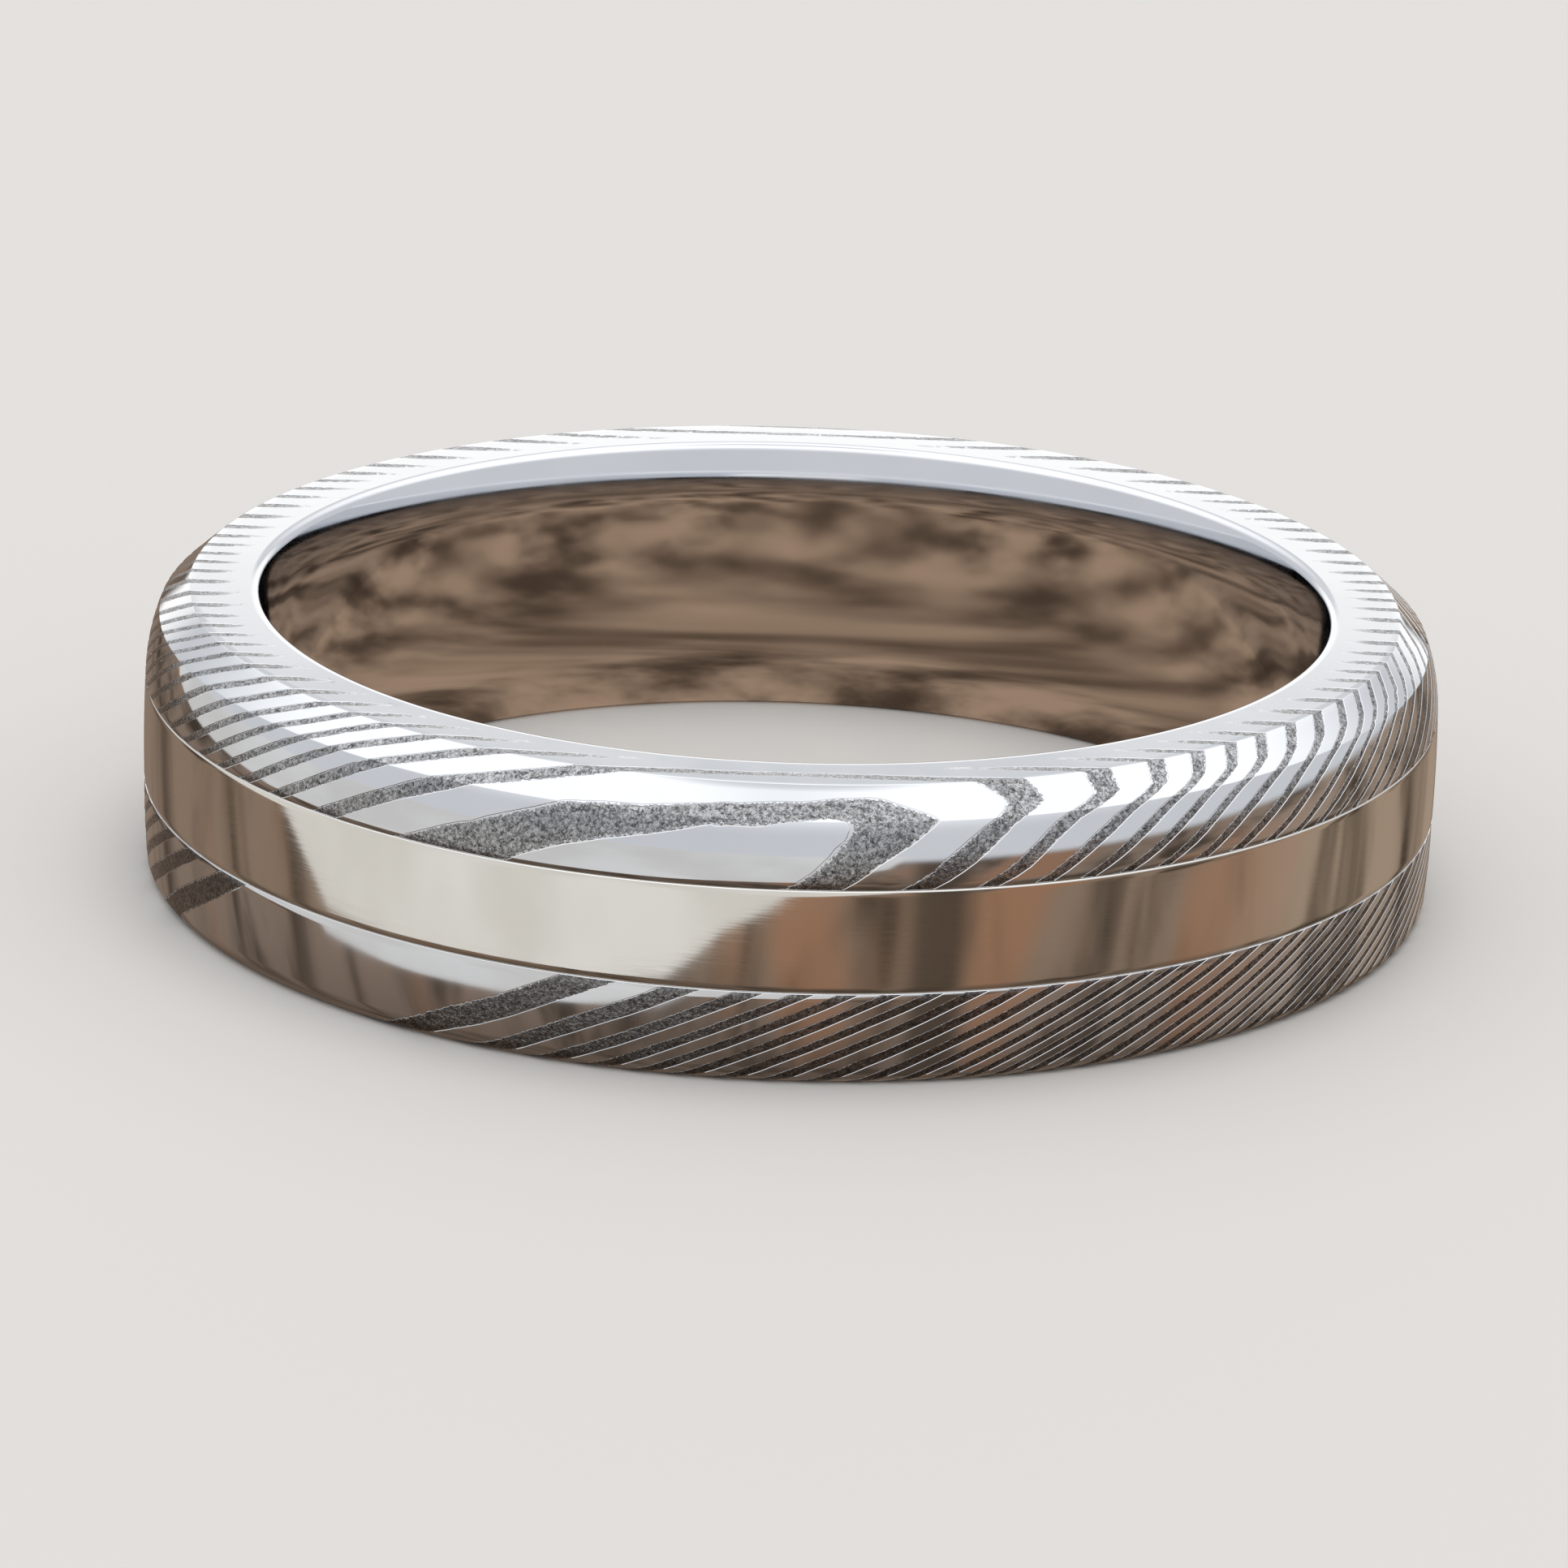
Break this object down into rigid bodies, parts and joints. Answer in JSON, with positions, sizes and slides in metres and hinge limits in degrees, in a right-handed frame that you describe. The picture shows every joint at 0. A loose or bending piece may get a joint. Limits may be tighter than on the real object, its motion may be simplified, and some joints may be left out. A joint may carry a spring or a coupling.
{
  "type": "wedding band",
  "caption": "Flat-sided wedding band in pattern-welded steel, bevelled on its upper edge, with an eased bore and a white gold strip let into its middle.",
  "frame": {"origin": "centre of the side face that the band lies on, on the axis of the bore", "axes": "+Z along the axis of the bore (along the finger), from the resting face towards the bevelled edge; -Y is the front; +Y is the side where the gold strip's ends are soldered; X completes the right-handed frame"},
  "size_m": [0.0226, 0.0228, 0.005],
  "materials": {
    "pattern_welded_steel": "folded and twisted layers of two stainless steels: bright layers mirror polished, dark layers etched a few hundredths of a millimetre deep and left granular grey; bore polished",
    "white_gold": "mirror-polished 14 carat white gold, slightly warm",
    "white_gold_solder": "polished flush white gold solder, a shade duller than the strip"
  },
  "bodies": {
    "root": {"damascus_band": "pattern_welded_steel", "gold_inlay_strip": "white_gold", "inlay_solder_seam": "white_gold_solder"}
  },
  "joints": []
}
